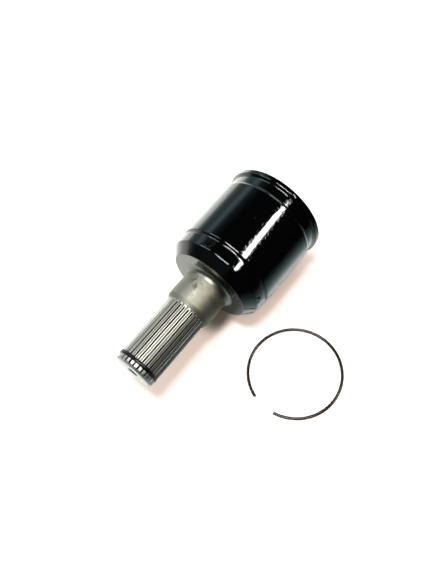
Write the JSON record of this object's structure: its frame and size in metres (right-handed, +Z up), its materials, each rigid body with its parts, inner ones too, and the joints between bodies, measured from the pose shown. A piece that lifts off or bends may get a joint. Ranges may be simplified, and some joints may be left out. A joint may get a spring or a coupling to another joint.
{
  "type": "cv joint",
  "caption": "Plunging inboard joint: splined stub, black cup and loose wire stop ring, with cage, balls and splined inner race inside the cup.",
  "frame": {"origin": "middle of the seal journal, on the joint's axis", "axes": "+X along the joint's axis from the stub to the cup's mouth, +Z up, away from the surface that the joint lies on"},
  "size_m": [0.1556, 0.148, 0.0764],
  "materials": {
    "black_enamel": "gloss enamel on the cup, bare machined steel on the stub, journal and shoulder",
    "black_spring_wire": "oil-blackened spring wire",
    "cage_steel": "hardened and ground, dark heat-treatment colour in the windows",
    "race_steel": "ground outside and tracks, broached bore",
    "ball_steel": "polished bearing balls under a film of oil"
  },
  "bodies": {
    "cup": {"housing": "black_enamel", "stub_snap_ring": "black_spring_wire"},
    "pivot_balls": {"ball_1": "ball_steel", "ball_4": "ball_steel"},
    "cage": {"cage": "cage_steel"},
    "race": {"inner_race": "race_steel"},
    "left_balls": {"ball_2": "ball_steel", "ball_3": "ball_steel"},
    "right_balls": {"ball_5": "ball_steel", "ball_6": "ball_steel"},
    "stop_ring": {"stop_ring": "black_spring_wire"}
  },
  "joints": [
    {"name": "plunge", "type": "slide", "parent": "cup", "child": "pivot_balls", "axis": [1, 0, 0], "range_m": [-0.0145, 0.0145]},
    {"name": "cage_turn", "type": "hinge", "parent": "pivot_balls", "child": "cage", "pos_m": [0.05625, 0, 0], "axis": [0, 0, 1], "range_deg": [-10, 10]},
    {"name": "race_bend", "type": "hinge", "parent": "cage", "child": "race", "pos_m": [0.06225, 0, 0], "axis": [0, 0, 1], "range_deg": [-10, 10]},
    {"name": "left_roll", "type": "slide", "parent": "pivot_balls", "child": "left_balls", "axis": [1, 0, 0], "range_m": [-0.0038, 0.0038]},
    {"name": "right_roll", "type": "slide", "parent": "pivot_balls", "child": "right_balls", "axis": [1, 0, 0], "range_m": [-0.0038, 0.0038]},
    {"name": "stop_ring_lift", "type": "slide", "parent": "cup", "child": "stop_ring", "axis": [0, 0, 1], "range_m": [0, 0.05]}
  ],
  "couplings": [
    {"joint": "cage_turn", "follows": "race_bend", "ratio": 1},
    {"joint": "left_roll", "follows": "race_bend", "m_per_rad": -0.021651},
    {"joint": "right_roll", "follows": "race_bend", "m_per_rad": 0.021651}
  ]
}
